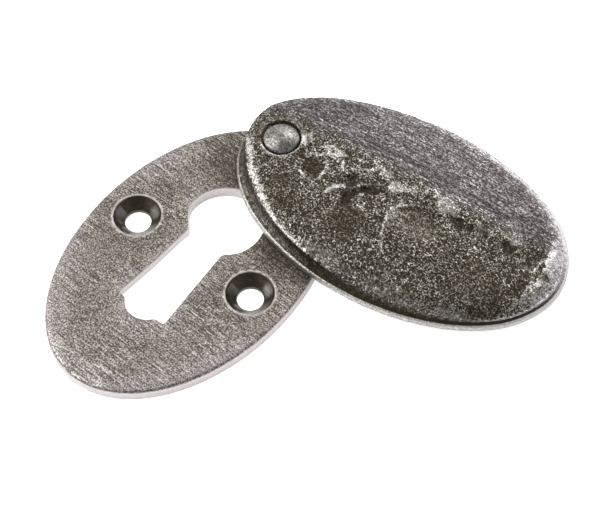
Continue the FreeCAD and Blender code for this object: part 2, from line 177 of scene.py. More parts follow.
def pits(x, y, seed):
    """Distance to the nearest of one random point in each cell, 0 at a point."""
    column, row = np.floor(x).astype(np.int64), np.floor(y).astype(np.int64)
    nearest = np.full_like(x, 9.0)
    for right in (-1, 0, 1):
        for top in (-1, 0, 1):
            point_x = column + right + hashed(column + right, row + top, seed)
            point_y = row + top + hashed(column + right, row + top, seed + 1)
            nearest = np.minimum(nearest, np.hypot(point_x - x, point_y - y))
    return nearest


def ease(low, high, x):
    """0 below low, 1 above high and a smooth rise between."""
    share = np.clip((x - low) / (high - low), 0.0, 1.0)
    return share * share * (3 - 2 * share)


# Mesh helpers

def new_piece(name, points, faces, material, body, sharp=None):
    """A mesh in millimetres made into a piece that rides on a body."""
    mesh = bpy.data.meshes.new(name)
    mesh.from_pydata([tuple(point) for point in np.asarray(points) * MM], [], faces)
    mesh.validate()
    mesh.shade_smooth()
    if sharp:
        mesh.set_sharp_from_angle(angle=math.radians(sharp))
    mesh.materials.append(material)
    piece = bpy.data.objects.new(name, mesh)
    bpy.context.scene.collection.objects.link(piece)
    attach(piece, body)
    return piece


def add_values(piece, name, values):
    """One number for each vertex, which the material reads by name."""
    layer = piece.data.attributes.new(name, "FLOAT", "POINT")
    layer.data.foreach_set("value", np.asarray(values, dtype=np.float32))


def band(first, second):
    """Quads between two rings of vertex numbers of one length."""
    count = len(first)
    return [(first[i], first[(i + 1) % count], second[(i + 1) % count], second[i]) for i in range(count)]


class Builder:
    """Collects the vertices and faces of one mesh."""

    def __init__(self):
        self.blocks = []
        self.count = 0
        self.faces = []

    def add(self, points):
        """Adds an array of points and returns their numbers."""
        points = np.asarray(points, dtype=float).reshape(-1, 3)
        start = self.count
        self.blocks.append(points)
        self.count += len(points)
        return list(range(start, self.count))

    def points(self):
        return np.concatenate(self.blocks)


# Cover

cover_low, cover_high = [np.array(corner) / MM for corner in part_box("swing_cover")]
cover_centre = (cover_low + cover_high) / 2
pivot = np.array(frame["joints"][0]["pos_m"]) / MM
turn = np.array([[math.cos(OPEN_ANGLE), -math.sin(OPEN_ANGLE)],
                 [math.sin(OPEN_ANGLE), math.cos(OPEN_ANGLE)]])


def from_cover(points):
    """Points of the cover's own frame, +Y towards the rivet, put where the cover lies open."""
    points = np.asarray(points, dtype=float)
    placed = points.copy()
    placed[:, :2] = points[:, :2] @ turn.T + cover_centre[:2]
    placed[:, 2] = points[:, 2] + cover_low[2]
    return placed


def cover_half_sizes():
    """Half width and half length of the cover, read from its solid."""
    corners = np.array([vertex.co for vertex in frame["nodes"]["swing_cover"].data.vertices]) / MM
    own = (corners[:, :2] - cover_centre[:2]) @ turn
    return own[:, 0].max(), own[:, 1].max()


HALF_WIDTH, HALF_LENGTH = cover_half_sizes()
CROWN_HALF_WIDTH = HALF_WIDTH - LEDGE_AT_SIDES - COVE_AT_SIDES
CROWN_HALF_LENGTH = HALF_LENGTH - LEDGE_AT_ENDS - COVE_AT_ENDS
LEDGE_TOP = RIM_HEIGHT + LEDGE_RISE
RIVET_X, RIVET_Y = (pivot[:2] - cover_centre[:2]) @ turn

# Marks on the crown: x, y, half length, half width, direction in degrees, depth; a lump is negative
MARKS = [
    (-2.4, 13.8, 2.6, 1.7, 20, 0.42), (-0.8, 15.9, 1.8, 0.9, 10, 0.22),
    (-6.2, 13, 1.6, 1.2, 20, 0.16), (-2, 7.4, 1.5, 1.3, -30, 0.4),
    (1.9, 6.8, 0.8, 0.8, 0, 0.2), (-4.2, 6.3, 2.2, 0.75, -8, 0.44),
    (-1.6, 4.2, 2.4, 0.8, -58, 0.44), (-5, 3.4, 2.6, 1.2, 20, 0.15),
    (-3, -4.6, 4.2, 2.7, 80, 0.32), (0.5, -9.7, 1.1, 0.9, 75, 0.28),
    (0.7, -11.4, 1, 0.6, 75, 0.22), (1.1, -17.4, 1.3, 0.8, 85, 0.22),
    (-5.5, -13, 2.6, 1.8, 30, 0.16), (-9.5, -6.5, 2.8, 1.6, 60, 0.14),
    (-9, 10, 2.6, 2, 80, 0.16), (-6, 19, 2.2, 1.6, 40, 0.12),
    (-2.5, -21.4, 4.4, 1, 4, 0.12), (2.6, -21.6, 2.2, 0.8, -14, 0.16),
    (1.2, 16.6, 1.4, 0.7, 20, -0.2), (1.3, 11.8, 2.2, 0.9, 85, -0.26),
    (-3.9, 8.7, 1.7, 0.6, -36, -0.22), (1.9, 3.6, 2, 0.8, 80, -0.16),
    (0.7, 0.7, 1.2, 0.9, 85, -0.2), (1.7, -1.3, 1, 0.7, 20, -0.16),
    (2.6, -3.6, 1.2, 0.9, 75, -0.14), (2.2, -6.8, 2.3, 1.3, 80, -0.2),
    (1.6, -12.8, 1.8, 0.7, 85, -0.18), (2.6, -17.4, 2, 0.9, 80, -0.18),
    (3, -23.6, 2.4, 0.8, -8, -0.22), (-3.2, -24.2, 3, 0.7, -4, -0.16),
]

# Ridges between the hammer marks and other rubbed lines, the first of them a painted highlight along the
# left shoulder: width, shine, height, then the line's points
CREASES = [
    (0.5, 0.48, 0, [(-2.6, 25.2), (-7.4, 21.8), (-10.2, 18.4), (-12.6, 14.6), (-14.1, 10.6),
                    (-14.9, 7.5)]),
    (0.3, 0.45, 0.1, [(1.4, 18.2), (0.2, 16.6), (-1.1, 15.4), (-0.3, 14.2), (0.5, 12.2), (0.3, 10.2),
                      (-0.9, 9.4)]),
    (0.26, 0.45, 0.1, [(-5.6, 9.6), (-3.6, 8.1), (-2.9, 6.9), (-1.9, 5.9), (-0.7, 4.4), (-0.1, 3),
                       (0.1, 1.2)]),
    (0.24, 0.4, 0.08, [(-4.4, 14.9), (-4.9, 13.2), (-4.2, 11.8), (-2.2, 11.6), (-0.6, 12.2)]),
    (0.22, 0.45, 0.08, [(0, 8.4), (0.6, 7.2), (1, 5.8), (2.2, 5.4), (3, 6.2)]),
    (0.2, 0.3, 0.04, [(0.9, 7.6), (1.9, 8), (2.8, 7.3)]),
    (0.26, 0.42, 0.1, [(-9.4, -2.4), (-7, -1), (-4.8, -0.3), (-3, -0.1), (-1.6, -0.9), (-0.5, -2.4)]),
    (0.22, 0.26, 0.05, [(-2.9, 4.6), (-3.8, 5), (-4.8, 4.4), (-5.2, 3.4)]),
    (0.22, 0.4, 0.06, [(2, -3.1), (3, -2.9), (3.6, -3.9), (2.8, -4.7), (2, -4.2)]),
    (0.24, 0.45, 0.1, [(-0.2, -22.3), (1.6, -22.3), (3.2, -22.9), (4.8, -23.2)]),
    (0.24, 0.35, 0.06, [(-7.8, -21.8), (-5, -22.8), (-2.2, -22.8), (0, -22.5)]),
    (0.16, 0.24, 0.02, [(5.3, 17.5), (5.5, 8), (5.4, 2), (5.6, -5), (5.4, -11)]),
    (0.16, 0.14, 0, [(9.9, 10), (10.2, 0), (9.8, -11)]),
]

# The hammered ridge's line, from the rivet's side to the free end: y, x, depth of the step beside it
RIDGE = [(18, 1.4, 0), (15.5, 0.3, 0.22), (13.5, 0.2, 0.34), (11, 0.5, 0.3), (8.5, -0.2, 0.3),
         (6, -1.2, 0.34), (4, -0.4, 0.34), (1, 0.2, 0.22), (-2, 0.3, 0.2), (-6, 0.2, 0.26),
         (-9.5, 0.4, 0.22), (-13, 0.7, 0.18), (-17, 1.1, 0.2), (-20.5, 1.3, 0.18), (-23, 2, 0)]

# Places rubbed bright, or left dark where negative: x, y, half length, half width, direction, strength
RUBBED = [
    (1.3, 11.9, 2.2, 0.9, 85, 0.68), (1.3, 16.8, 1.5, 0.8, 20, 0.58),
    (-3.9, 8.8, 1.7, 0.6, -36, 0.48), (2, 3.6, 2, 0.8, 80, 0.54),
    (0.7, 0.9, 1.6, 1.1, 85, 0.68), (1.7, -1.3, 1.1, 0.7, 20, 0.6),
    (2.1, -6.8, 2.5, 1.5, 80, 0.6), (1.6, -12.8, 2, 0.7, 85, 0.3),
    (2.6, -17.4, 2.2, 1, 80, 0.35), (3, -23.7, 2.6, 0.9, -8, 0.55),
    (-1.2, -24.5, 7.2, 1.7, -2, 0.7), (4.8, -23.2, 2.2, 1.3, 20, 0.65),
    (0.3, -24, 0.6, 0.4, 10, -0.75), (-2.2, -24.5, 0.7, 0.4, 30, -0.7),
    (-4.6, -23.9, 0.8, 0.4, -20, -0.65), (3.7, -24.6, 0.6, 0.3, 0, -0.55),
    (2.2, -23.4, 1.3, 0.5, -8, 0.45), (-1, -23.5, 0.8, 0.4, 25, 0.5),
    (-3, -4.6, 4, 2.6, 80, 0.16), (-3.6, -0.9, 2.6, 0.7, 12, 0.25),
    (-9, -22.3, 3.4, 0.9, -42, 0.35), (-14.2, 4, 5, 1.1, 86, 0.32),
    (-13.9, -7, 5.5, 1.2, 96, 0.3), (-12.3, -15.5, 4, 1.2, 112, 0.4),
    (-2.4, 13.8, 2.3, 1.4, 20, -0.42), (-0.6, 16.2, 1.6, 0.9, 10, -0.4),
    (-2, 7.4, 1.2, 1, -30, -0.48), (-4.2, 6.3, 2.3, 0.8, -8, -0.66),
    (-1.6, 4.2, 2.4, 0.8, -58, -0.66), (1.9, 6.8, 0.7, 0.7, 0, -0.4),
    (-9, 15.5, 3.6, 3.2, 60, -0.1), (-8, 4.5, 3, 3.4, 0, -0.16),
    (0.5, -9.7, 1, 0.8, 75, -0.55), (0.7, -11.4, 0.9, 0.6, 75, -0.45),
    (1.1, -17.4, 1.2, 0.8, 85, -0.5), (-2.5, -21.7, 4.2, 0.7, 4, -0.14),
    (2.8, -21.8, 2.2, 0.6, -14, -0.16), (-7, -17, 5, 3.6, 40, -0.06),
]


# The forged edge: direction in degrees clockwise from the rivet's end, how far the crown's edge and the
# rim stray outwards, softness of the shoulder, shine of the groove, of the cove's foot and ledge, and of
# the lip, how smooth and pale the edge is, and how much of that goes on over the crown
EDGE = [
    (0, 0.44, 0, 0.8, 0.25, 0.5, 0.6, 0.2, 0), (15, 0.82, 0, 0.5, 0.35, 0.6, 0.6, 0.4, 0),
    (37, 0.22, 0, 0.5, 0.6, 0.7, 0.8, 0.8, 0.1), (55, -0.1, 0, 0.5, 0.8, 0.85, 0.9, 1, 0.2),
    (67, -0.2, 0, 0.5, 0.8, 0.85, 0.9, 1, 0.2), (80, -0.14, 0, 0.5, 0.8, 0.85, 0.9, 1, 0.3),
    (95, 0.18, 0, 0.5, 0.8, 0.85, 0.95, 1, 0.6), (105, 0.34, 0, 0.5, 0.85, 0.9, 1, 1, 0.9),
    (115, 0.58, 0.05, 0.5, 0.9, 0.95, 1, 1, 1), (125, 0.76, 0.2, 0.5, 0.95, 1, 1, 1, 1),
    (142, 0.9, 0.42, 0.6, 0.95, 1, 1, 1, 1), (160, 0.5, 0.22, 0.8, 0.92, 0.95, 1, 1, 0.9),
    (178, 0.3, 0.04, 0.9, 0.98, 0.8, 1, 1, 0.8), (190, 0.3, -0.08, 1, 0.97, 0.4, 1, 1, 0.5),
    (200, 0.35, -0.14, 1, 0.95, 0.2, 1, 0.9, 0.2), (212, 0.4, 0, 1, 0.88, 0.1, 1, 0.75, 0),
    (230, 0.42, 0, 1, 0.46, 0.16, 1, 0.3, 0), (265, 0.3, 0, 1, 0.2, 0.18, 0.9, 0, 0),
    (280, 0.15, 0, 1, 0.08, 0.18, 0.95, 0, 0), (290, 0.05, 0, 1, 0.12, 0.5, 1, 0, 0),
    (302, -0.1, 0, 1, 0.24, 0.58, 1, 0, 0), (318, -0.32, 0, 1, 0.32, 0.56, 0.95, 0, 0),
    (336, -0.32, 0, 1, 0.34, 0.52, 0.8, 0, 0), (350, 0.1, 0, 0.9, 0.15, 0.52, 0.6, 0, 0),
]


def forged_edge(directions):
    """The columns of the forged edge's list in each direction."""
    rows = np.array(EDGE)
    angles = np.degrees(np.arctan2(directions[..., 0], directions[..., 1])) % 360
    return [np.interp(angles, rows[:, 0], rows[:, column], period=360) for column in range(1, 9)]


def outward(directions):
    """Unit vectors square to the cover's outline in each direction."""
    square = directions / np.array([HALF_WIDTH, HALF_LENGTH])
    return square / np.linalg.norm(square, axis=-1, keepdims=True)


def patch(x, y, mark):
    """1 inside an oval patch, 0 outside it."""
    centre_x, centre_y, half_length, half_width, direction, _ = mark
    angle = math.radians(direction)
    along = (x - centre_x) * math.cos(angle) + (y - centre_y) * math.sin(angle)
    across = (y - centre_y) * math.cos(angle) - (x - centre_x) * math.sin(angle)
    return 1 - ease(0.62, 1.15, np.hypot(along / half_length, across / half_width))


def crease(x, y, width, line):
    """1 on a line of points and less beside it."""
    nearest = np.full_like(x, 9.0)
    for (ax, ay), (bx, by) in zip(line, line[1:]):
        along = ((x - ax) * (bx - ax) + (y - ay) * (by - ay)) / ((bx - ax) ** 2 + (by - ay) ** 2)
        along = np.clip(along, 0, 1)
        nearest = np.minimum(nearest, np.hypot(x - ax - along * (bx - ax), y - ay - along * (by - ay)))
    return np.exp(-(nearest / width) ** 2)


def bent(x, y, amount, size, seed, octaves=3):
    """Coordinates pushed about by waves of a size, so that drawn outlines come out uneven."""
    return (x + amount * rough(x / size, y / size, seed, octaves),
            y + amount * rough(x / size, y / size, seed + 10, octaves))


def reach_of(x, y):
    """1 on the crown's outline, less inside it."""
    return np.hypot(x / CROWN_HALF_WIDTH, y / CROWN_HALF_LENGTH)


def smooth_crown(x, y):
    """The crown before it is hammered."""
    reach = np.minimum(reach_of(x, y), 1.04)
    shoulder = SHOULDER_HEIGHT + SHOULDER_TILT * y / CROWN_HALF_LENGTH / 2
    return shoulder + CROWN_RISE * (1 - reach ** 2) - SHOULDER_ROLL * reach ** 12


def ridge_step(x, y):
    """How far the struck side lies below the ridge."""
    rows = np.array(RIDGE[::-1])
    line = np.interp(y, rows[:, 0], rows[:, 1]) + 0.35 * waves(y / 1.1, x * 0 + 0.5, 5)
    depth = np.interp(y, rows[:, 0], rows[:, 2])
    side = 0.5 - 0.5 * np.tanh((x - line) / 0.4)
    return depth * side * np.exp(-((x - line) / 5.0) ** 2)


def hammering(x, y):
    """Marks, ridge and swells of the forged crown; they fade towards the rim and the rivet."""
    bent_x, bent_y = bent(x, y, 0.45, 1.6, 11)
    height = 0.07 * rough(x / 4.5, y / 4.5, 31, 2) - ridge_step(bent_x, bent_y)
    for mark in MARKS:
        height -= mark[5] * patch(bent_x, bent_y, mark)
    for width, _, lift, line in CREASES:
        height += lift * crease(bent_x, bent_y, width * 1.4, line)
    from_rivet = np.hypot(x - RIVET_X, y - RIVET_Y)
    return height * (1 - reach_of(x, y) ** 8) * ease(SEAT_RADIUS, SEAT_RADIUS + 1.2, from_rivet)


def grain(x, y):
    """Fine surface of the casting, about -1 to 1: pitted on the struck side, drawn out beyond the ridge."""
    struck = 1 - ease(2.0, 5.0, x + 0.8 * waves(x / 3, y / 3, 41))
    pitted = rough(x / 0.75, y / 0.75, 51, 2) + 0.9 * (pits(x / 0.8, y / 0.8, 61) - 0.5)
    drawn = rough(x / 0.5, y / 0.95, 71, 2) + 0.8 * rough(x / 0.42, y / 4.0, 81, 2)
    return struck * pitted + (1 - struck) * 0.8 * drawn, struck


def cover_top(x, y):
    """Height of the finished crown with the rivet's seat, how bright it is, how speckled and how cool."""
    fine, struck = grain(x, y)
    amplitude = 0.030 + 0.030 * struck
    height = smooth_crown(x, y) + hammering(x, y) + amplitude * fine
    reach = np.maximum(reach_of(x, y), 0.1)
    from_edge = np.maximum(1 - reach, 0) * np.hypot(x, y) / reach
    edge_looks = forged_edge(np.stack([x / CROWN_HALF_WIDTH, y / CROWN_HALF_LENGTH + 1e-9], -1))
    softness, pale = edge_looks[2], edge_looks[6] * edge_looks[7]
    height -= SHOULDER_SOFT * softness * (1 - ease(0, 2.0, from_edge)) ** 1.5
    from_rivet = np.hypot(x - RIVET_X, y - RIVET_Y)
    round_rivet = 1 - ease(SEAT_RADIUS, SEAT_RADIUS + 2.6, from_rivet)
    uphill = ((x - RIVET_X) * SEAT_FAR_SIDE[0] + (y - RIVET_Y) * SEAT_FAR_SIDE[1]) / SEAT_RADIUS
    height += round_rivet * (0.14 * uphill - 0.10)
    seat = smooth_crown(RIVET_X, RIVET_Y) - SEAT_DEPTH
    near_side = ease(-0.35, 0.65, -uphill)
    wall_start = SEAT_RADIUS + SEAT_SLACK * (1 - near_side)
    wall = ease(0, 0.2, from_rivet - wall_start)
    burr_middle = SEAT_RADIUS + 0.28 + 0.08 * waves(x / 1.2, y / 1.2, 151)
    burr = 0.10 * np.exp(-((from_rivet - burr_middle) / 0.20) ** 2)
    height = seat * (1 - wall) + (height + burr * near_side) * wall
    flute = np.exp(-((x - 5.6 - 0.4 * waves(y / 6, y * 0, 91)) / 0.55) ** 2)
    flute *= ease(-17, -13, y) * ease(-14, -9, -y)
    height -= 0.07 * flute
    rubbed = 0.36 * struck + 0.51 * (1 - struck) + 0.07 * rough(x / 3, y / 3, 101, 2)
    bent_x, bent_y = bent(x, y, 0.5, 0.9, 111, 2)
    smooth = np.zeros_like(x)
    for mark in RUBBED:
        share = patch(bent_x, bent_y, mark)
        rubbed = rubbed + 0.6 * mark[5] * share
        smooth = np.maximum(smooth, (0.50 if mark[5] > 0 else 0.20) * share)
    bent_x, bent_y = bent(x, y, 0.22, 0.7, 111, 2)
    # The first crease paints a highlight along the left shoulder.
    for width, shine, _, line in CREASES:
        share = crease(bent_x, bent_y, width, line)
        rubbed = rubbed + 1.15 * shine * share
        smooth = np.maximum(smooth, 0.45 * share)
    ring = 10 * burr * (0.20 + 0.80 * near_side)
    rubbed = rubbed - 0.16 * flute + 0.62 * ring + (0.12 * struck + 0.03) * fine
    rubbed = rubbed + 0.08 * (1 - ease(0.2, 1.8, from_edge))
    smooth = np.maximum(smooth, 0.85 * ring)
    behind = np.exp(-((from_rivet - SEAT_RADIUS - 0.75) / 0.4) ** 2) * (1 - near_side)
    rubbed = rubbed + 0.12 * behind
    smooth = np.maximum(smooth, 0.6 * behind)
    band = pale * (1 - ease(0.35, 1.9, from_edge + 0.5 * waves(x / 1.4, y / 1.4, 161)))
    rubbed = rubbed + band * (0.93 - rubbed)
    cool = (1 - struck) + band * struck
    smooth = np.maximum(smooth, 0.8 * band)
    return height, np.where(wall < 0.6, 0.0, np.clip(rubbed, 0, 1)), 1 - smooth, cool


def crown_grid(builder):
    """The crown as one grid bent to its oval, and the numbers of the grid's edge in order."""
    count = CROWN_CELLS + 1
    line = np.linspace(-1, 1, count)
    u, v = np.meshgrid(line, line, indexing="ij")
    x = u * np.sqrt(1 - v ** 2 / 2) * CROWN_HALF_WIDTH
    y = v * np.sqrt(1 - u ** 2 / 2) * CROWN_HALF_LENGTH
    height, *looks = cover_top(x, y)
    directions = np.stack([x / CROWN_HALF_WIDTH, y / CROWN_HALF_LENGTH + 1e-9], -1)
    crown_out = forged_edge(directions)[0]
    moved = outward(directions) * (crown_out * reach_of(x, y) ** 4)[..., None]
    points = np.stack([x + moved[..., 0], y + moved[..., 1], height], -1)
    numbers = np.array(builder.add(points)).reshape(count, count)
    corners = (numbers[:-1, :-1], numbers[1:, :-1], numbers[1:, 1:], numbers[:-1, 1:])
    builder.faces += np.stack([corner.ravel() for corner in corners], -1).tolist()
    edge = [numbers[:-1, 0], numbers[-1, :-1], numbers[:0:-1, -1], numbers[0, :0:-1]]
    edge = np.concatenate(edge)
    return list(edge), directions.reshape(-1, 2)[edge], [look.ravel() for look in looks]


def rim_profile():
    """Rings from the shoulder out: inset at the sides and at the ends, height, share of the crown's rise."""
    rings = []
    for share in np.linspace(1, 0, 13)[1:]:
        side, end = LEDGE_AT_SIDES + share * COVE_AT_SIDES, LEDGE_AT_ENDS + share * COVE_AT_ENDS
        rings.append((side, end, LEDGE_TOP, share ** 2))
    for share in (0.8, 0.6, 0.4, 0.2):
        rings.append((LEDGE_AT_SIDES * share, LEDGE_AT_ENDS * share, RIM_HEIGHT + LEDGE_RISE * share, 0))
    for angle in np.radians([75, 50, 25, 0]):
        inset = RIM_BEVEL * (1 - math.cos(angle))
        rings.append((inset, inset, RIM_HEIGHT - RIM_BEVEL * (1 - math.sin(angle)), 0))
    for height in (0.66, 0.4, 0.2, 0.08):
        rings.append((0, 0, height, 0))
    rings.append((0.08, 0.08, 0.0, 0))
    return rings


def rim_rings(builder, edge, directions):
    """Cove, ledge, rim and wall, ring by ring; returns the lowest ring and the looks of all."""
    crown_edge = builder.points()[edge]
    crown_out, rim_out, _, groove_shine, foot_shine, lip_shine, pale, _ = forged_edge(directions)
    square = outward(directions)
    last, bright, speck, cool = edge, [], [], []
    for inset_x, inset_y, height, rise in rim_profile():
        x = directions[:, 0] * (HALF_WIDTH - inset_x)
        y = directions[:, 1] * (HALF_LENGTH - inset_y)
        z = height + rise * (crown_edge[:, 2] - height)
        fine, _ = grain(x * 1.3, y * 1.3)
        on_ledge = ease(0.1, 0.5, inset_x) * (1 - rise)
        z = z + 0.035 * fine * on_ledge * (z > RIM_HEIGHT * 0.9)
        share = math.sqrt(rise)
        out = crown_out * share + rim_out * (1 - share)
        out = out - (0.02 + 0.02 * rough(x / 2.2, y / 2.2, 121, 2)) * (rise < 0.01)
        points = np.column_stack([x + square[:, 0] * out, y + square[:, 1] * out, np.maximum(z, 0)])
        ring = builder.add(points)
        builder.faces += band(last, ring)
        last = ring
        in_groove = ease(0.58, 0.72, share + 0.30 * pale + 0.14 * waves(x / 0.8, y / 0.8, 141))
        if rise > 0.01:
            polish = foot_shine + in_groove * (groove_shine - foot_shine)
            polish = polish + ease(0.86, 1.0, share) * (0.5 + 0.42 * pale - polish)
        elif inset_x > 0.25:
            polish = foot_shine - 0.12 * (1 - pale)
        elif inset_x > 0.05:
            polish = lip_shine
        else:
            polish = 0.88
        bright.append(np.clip(polish + (0.16 - 0.10 * pale) * fine * (inset_x > 0.25), 0, 1))
        rest = 0.25 if inset_x < 0.25 else 0.38 + 0.5 * share ** 2
        speck.append(rest * (1 - 0.7 * pale) * np.ones(len(ring)))
        cool.append(pale * (inset_x > 0.05))
    return last, np.concatenate(bright), np.concatenate(speck), np.concatenate(cool)


def underside(builder, lowest, directions):
    """Flat land, smooth dish and boss below the cover, with fewer faces than the top."""
    coarse = directions[::UNDERSIDE_SKIP]
    last = None
    insets = [(RIM_LAND, 0.0)]
    for share in np.linspace(0, 1, 9)[1:]:
        insets.append((RIM_LAND + DISH_SLOPE * share, DISH_DEPTH * math.sin(share * math.pi / 2) ** 0.8))
    for inset, height in insets:
        x = coarse[:, 0] * (HALF_WIDTH - inset)
        y = coarse[:, 1] * (HALF_LENGTH - inset)
        z = height + 0.04 * rough(x / 2.5, y / 2.5, 131) * (height > 0)
        ring = builder.add(np.stack([x, y, z], -1))
        if last is None:
            for i in range(len(ring)):
                outer = [lowest[(i * UNDERSIDE_SKIP + k) % len(lowest)] for k in range(UNDERSIDE_SKIP + 1)]
                builder.faces.append(outer + [ring[(i + 1) % len(ring)], ring[i]])
        else:
            builder.faces += band(last, ring)
        last = ring
    builder.faces.append(last)
    circle = circle_loop(RIVET_X, RIVET_Y, BOSS_RADIUS, BOSS_POINTS)
    low, high = [builder.add(np.column_stack([circle, np.full(BOSS_POINTS, z)])) for z in (0.02, DISH_DEPTH)]
    builder.faces += band(low, high)
    builder.faces.append(low[::-1])


def make_cover(material):
    """The forged cover, in place of its plain solid."""
    builder = Builder()
    edge, directions, crown_looks = crown_grid(builder)
    lowest, *rim_looks = rim_rings(builder, edge, directions)
    underside(builder, lowest, directions)
    points = builder.points()
    piece = new_piece("forged_cover", from_cover(points), builder.faces, material, "cover")
    below_looks = (("bright", 0.2), ("speck", 0.7), ("cool", 0.5))
    for (name, below), crown, rim in zip(below_looks, crown_looks, rim_looks):
        rest = np.full(len(points) - len(crown) - len(rim), below)
        add_values(piece, name, np.concatenate([crown, rim, rest]))
    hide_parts("swing_cover")


# Back plate

PLATE_HALF_WIDTH, PLATE_HALF_LENGTH, _ = np.array(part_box("back_plate")[1]) / MM


def oval_loop(half_width, half_length, count, centre=(0, 0)):
    angles = np.linspace(0, 2 * math.pi, count, endpoint=False)
    return np.stack([centre[0] + half_width * np.cos(angles), centre[1] + half_length * np.sin(angles)], -1)


def arc(centre, radius, start, end, step):
    """Points of an arc from one angle to another, both ends included."""
    count = max(3, int(abs(end - start) * radius / step) + 1)
    angles = np.linspace(start, end, count)
    return np.stack([centre[0] + radius * np.cos(angles), centre[1] + radius * np.sin(angles)], -1)


def resampled(loop, step):
    """A closed outline with points at even steps along it."""
    closed = np.vstack([loop, loop[:1]])
    lengths = np.concatenate([[0], np.cumsum(np.linalg.norm(np.diff(closed, axis=0), axis=1))])
    places = np.linspace(0, lengths[-1], int(lengths[-1] / step), endpoint=False)
    return np.stack([np.interp(places, lengths, closed[:, k]) for k in (0, 1)], -1)


def softened(loop, passes):
    """A closed outline with its corners eased."""
    for _ in range(passes):
        loop = 0.5 * loop + 0.25 * (np.roll(loop, 1, 0) + np.roll(loop, -1, 0))
    return loop


def keyhole_loop():
    """Round part, sloping shoulders, widening slot and the bow at its foot, counter-clockwise."""
    neck = math.asin(NECK_HALF_WIDTH / KEYHOLE_RADIUS)
    left_end = math.atan2(LEFT_SIDE[0][1] - KEYHOLE_UP, LEFT_SIDE[0][0]) + 2 * math.pi
    round_part = arc((0, KEYHOLE_UP), KEYHOLE_RADIUS, neck - math.pi / 2, left_end - 0.05, 0.2)
    bow_radius = (BOW_HALF_WIDTH ** 2 + BOW_DEPTH ** 2) / (2 * BOW_DEPTH)
    bow_centre = (0, SLOT_FOOT[1] - BOW_DEPTH + bow_radius)
    half = math.asin(BOW_HALF_WIDTH / bow_radius)
    bow = arc(bow_centre, bow_radius, -math.pi / 2 - half, -math.pi / 2 + half, 0.2)
    loop = np.vstack([round_part, LEFT_SIDE, bow, [SLOT_FOOT, SLOT_TOP]])
    return softened(resampled(loop, 0.2), 5)


def shifted(loop, distance):
    """A loop moved to its right by a distance: outwards where it runs counter-clockwise."""
    ahead = np.roll(loop, -1, 0) - np.roll(loop, 1, 0)
    ahead /= np.linalg.norm(ahead, axis=1)[:, None]
    return loop + distance * np.stack([ahead[:, 1], -ahead[:, 0]], -1)


def circle_loop(across, up, radius, count):
    return oval_loop(radius, radius, count, (across, up))


def nearest_distance(points, loop):
    """Distance from each point to the nearest point of a loop."""
    nearest = np.full(len(points), 1e9)
    for start in range(0, len(loop), 64):
        part = loop[start:start + 64]
        gaps = np.hypot(points[:, None, 0] - part[None, :, 0], points[:, None, 1] - part[None, :, 1])
        nearest = np.minimum(nearest, gaps.min(1))
    return nearest


def inside(points, loop):
    """Whether each point is inside a closed loop."""
    x, y = points[:, 0], points[:, 1]
    crossings = np.zeros(len(points), dtype=bool)
    for (ax, ay), (bx, by) in zip(loop, np.roll(loop, -1, 0)):
        if ay != by:
            crossings ^= ((ay > y) != (by > y)) & (x < (bx - ax) * (y - ay) / (by - ay) + ax)
    return crossings


def face_points(outer, holes, spacing, extra):
    """Staggered points that fill a face between its outer loop and its holes, clear of the extra points."""
    low, high = outer.min(0), outer.max(0)
    columns = np.arange(low[0], high[0], spacing)
    rows = np.arange(low[1], high[1], spacing * math.sqrt(3) / 2)
    points = np.vstack([np.column_stack([columns + (k % 2) * spacing / 2, np.full(len(columns), row)])
                        for k, row in enumerate(rows)])
    keep = inside(points, outer) & (nearest_distance(points, outer) > spacing * 0.6)
    for hole in holes:
        keep &= ~inside(points, hole) & (nearest_distance(points, hole) > spacing * 0.6)
    if extra:
        keep &= nearest_distance(points, np.vstack(extra)) > spacing * 0.5
    return np.vstack([points[keep]] + extra)


def fill_face(outer, holes, spacing, extra=()):
    """Triangles between an outer loop and its holes. The loops come first in the returned points."""
    loops = [outer] + holes
    points = np.vstack(loops + [face_points(outer, holes, spacing, list(extra))])
    edges, start = [], 0
    for loop in loops:
        edges += [(start + i, start + (i + 1) % len(loop)) for i in range(len(loop))]
        start += len(loop)
    result = delaunay_2d_cdt([Vector(point) for point in points], edges, [], 0, 1e-6)
    flat, faces = np.array([tuple(point) for point in result[0]]), result[2]
    middles = np.array([flat[list(face)].mean(0) for face in faces])
    keep = inside(middles, outer)
    for hole in holes:
        keep &= ~inside(middles, hole)
    return flat, [face for face, good in zip(faces, keep) if good]


